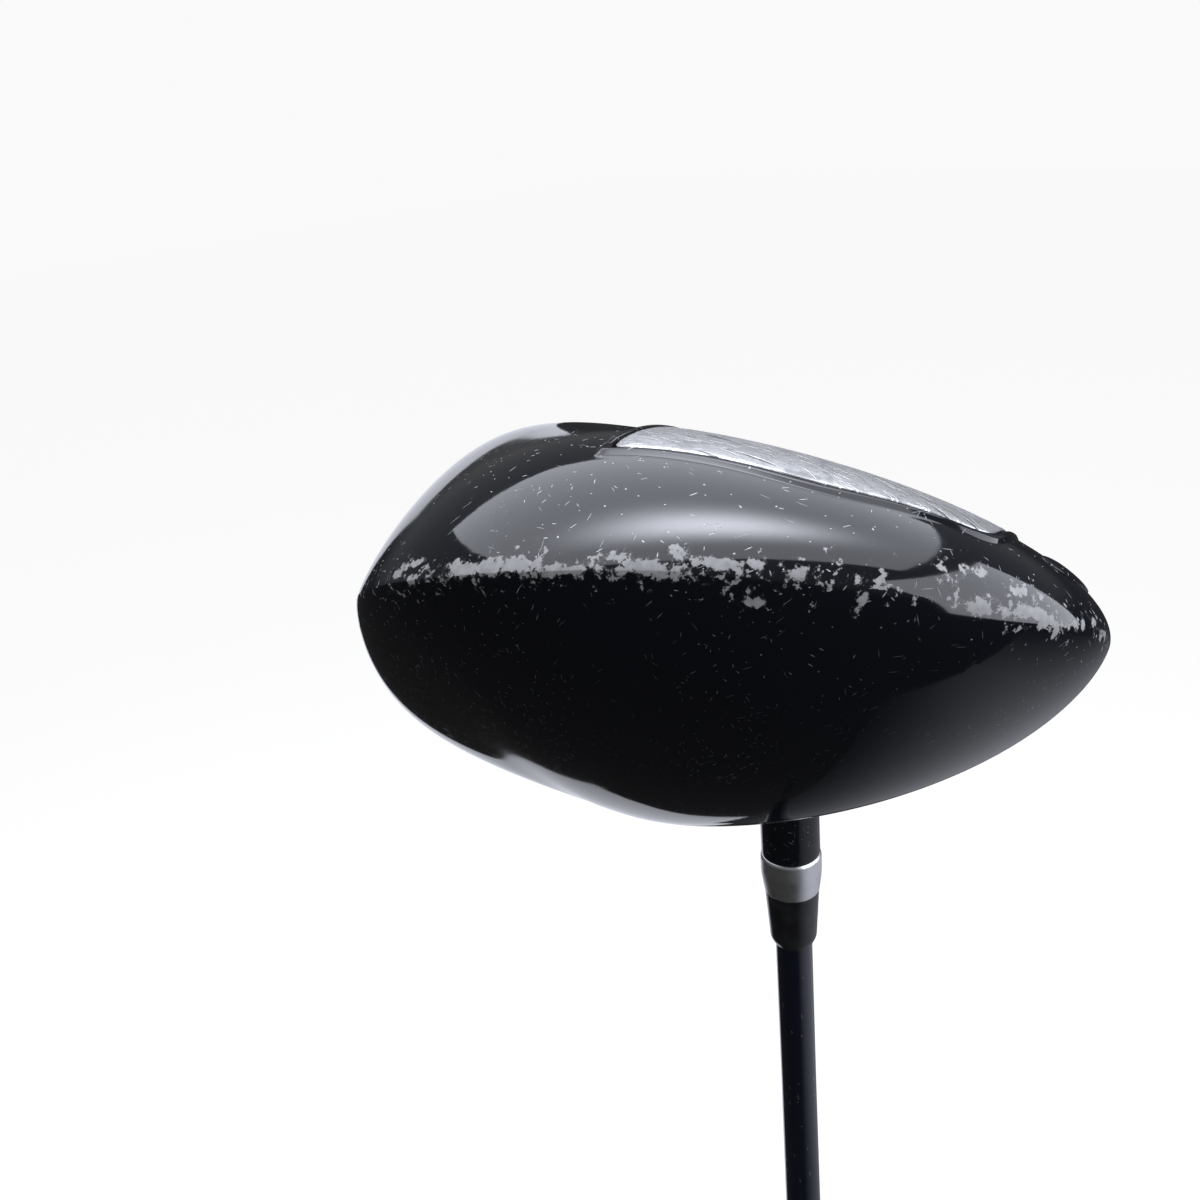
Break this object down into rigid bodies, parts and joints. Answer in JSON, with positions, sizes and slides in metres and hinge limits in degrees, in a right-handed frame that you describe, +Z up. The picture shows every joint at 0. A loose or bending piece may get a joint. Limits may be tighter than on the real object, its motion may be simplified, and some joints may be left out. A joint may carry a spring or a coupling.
{
  "type": "golf driver",
  "caption": "right-handed golf driver with a large hollow bonded-hosel head, tapered graphite shaft and moulded rubber grip, standing grip down with the head at the top",
  "frame": {"origin": "centre of the grip cap's end face, on the shaft axis", "axes": "+Z runs up the shaft axis from the grip to the head, +X is the side the toe leans to, -Y is the way the face points at address"},
  "size_m": [0.1193, 0.1067, 1.2007],
  "materials": {
    "gloss_black_crown": "deep gloss black lacquer over titanium, fine scratches, chipped along the edge",
    "gloss_black_body": "gloss black paint over cast titanium, scratched and chipped to bright metal",
    "face_metal": "dark brushed titanium with a matt blasted strike area",
    "polished_ring": "polished, anodised clear",
    "ferrule_black": "buffed black acetate",
    "epoxy": "cured amber epoxy",
    "satin_plate": "satin brushed, scratched across from ground contact",
    "bond_tape": "foam bonding tape",
    "inlay_black": "satin black enamel",
    "rear_pad": "gloss black over tungsten alloy",
    "tungsten": "raw sintered tungsten alloy",
    "raw_titanium": "as cast",
    "hot_melt": "tacky set resin",
    "weld_bead": "as welded",
    "shaft_blue_black": "clear gloss coat over near-black blue carbon fibre",
    "plug": "soft rubber",
    "brass": "turned brass",
    "foil_band": "thin plain silver foil under clear coat",
    "grip_tape": "double-sided paper tape",
    "grip_rubber": "moulded rubber, fine cross-hatched grooves",
    "cap_rubber": "moulded rubber, smooth"
  },
  "bodies": {
    "root": {"crown": "gloss_black_crown", "body": "gloss_black_body", "face_plate": "face_metal", "hosel": "gloss_black_body", "trim_ring": "polished_ring", "ferrule": "ferrule_black", "epoxy_sleeve": "epoxy", "sole_plate": "satin_plate", "sole_plate_tape": "bond_tape", "plate_inlay": "inlay_black", "rear_weight": "rear_pad", "toe_weight": "tungsten", "heel_weight": "tungsten", "sound_ribs": "raw_titanium", "hot_melt": "hot_melt", "crown_bond_bead": "weld_bead", "shaft": "shaft_blue_black", "tip_plug": "plug", "tip_weight": "brass", "shaft_band": "foil_band", "grip_tape": "grip_tape", "grip": "grip_rubber", "grip_cap": "cap_rubber"}
  },
  "joints": []
}
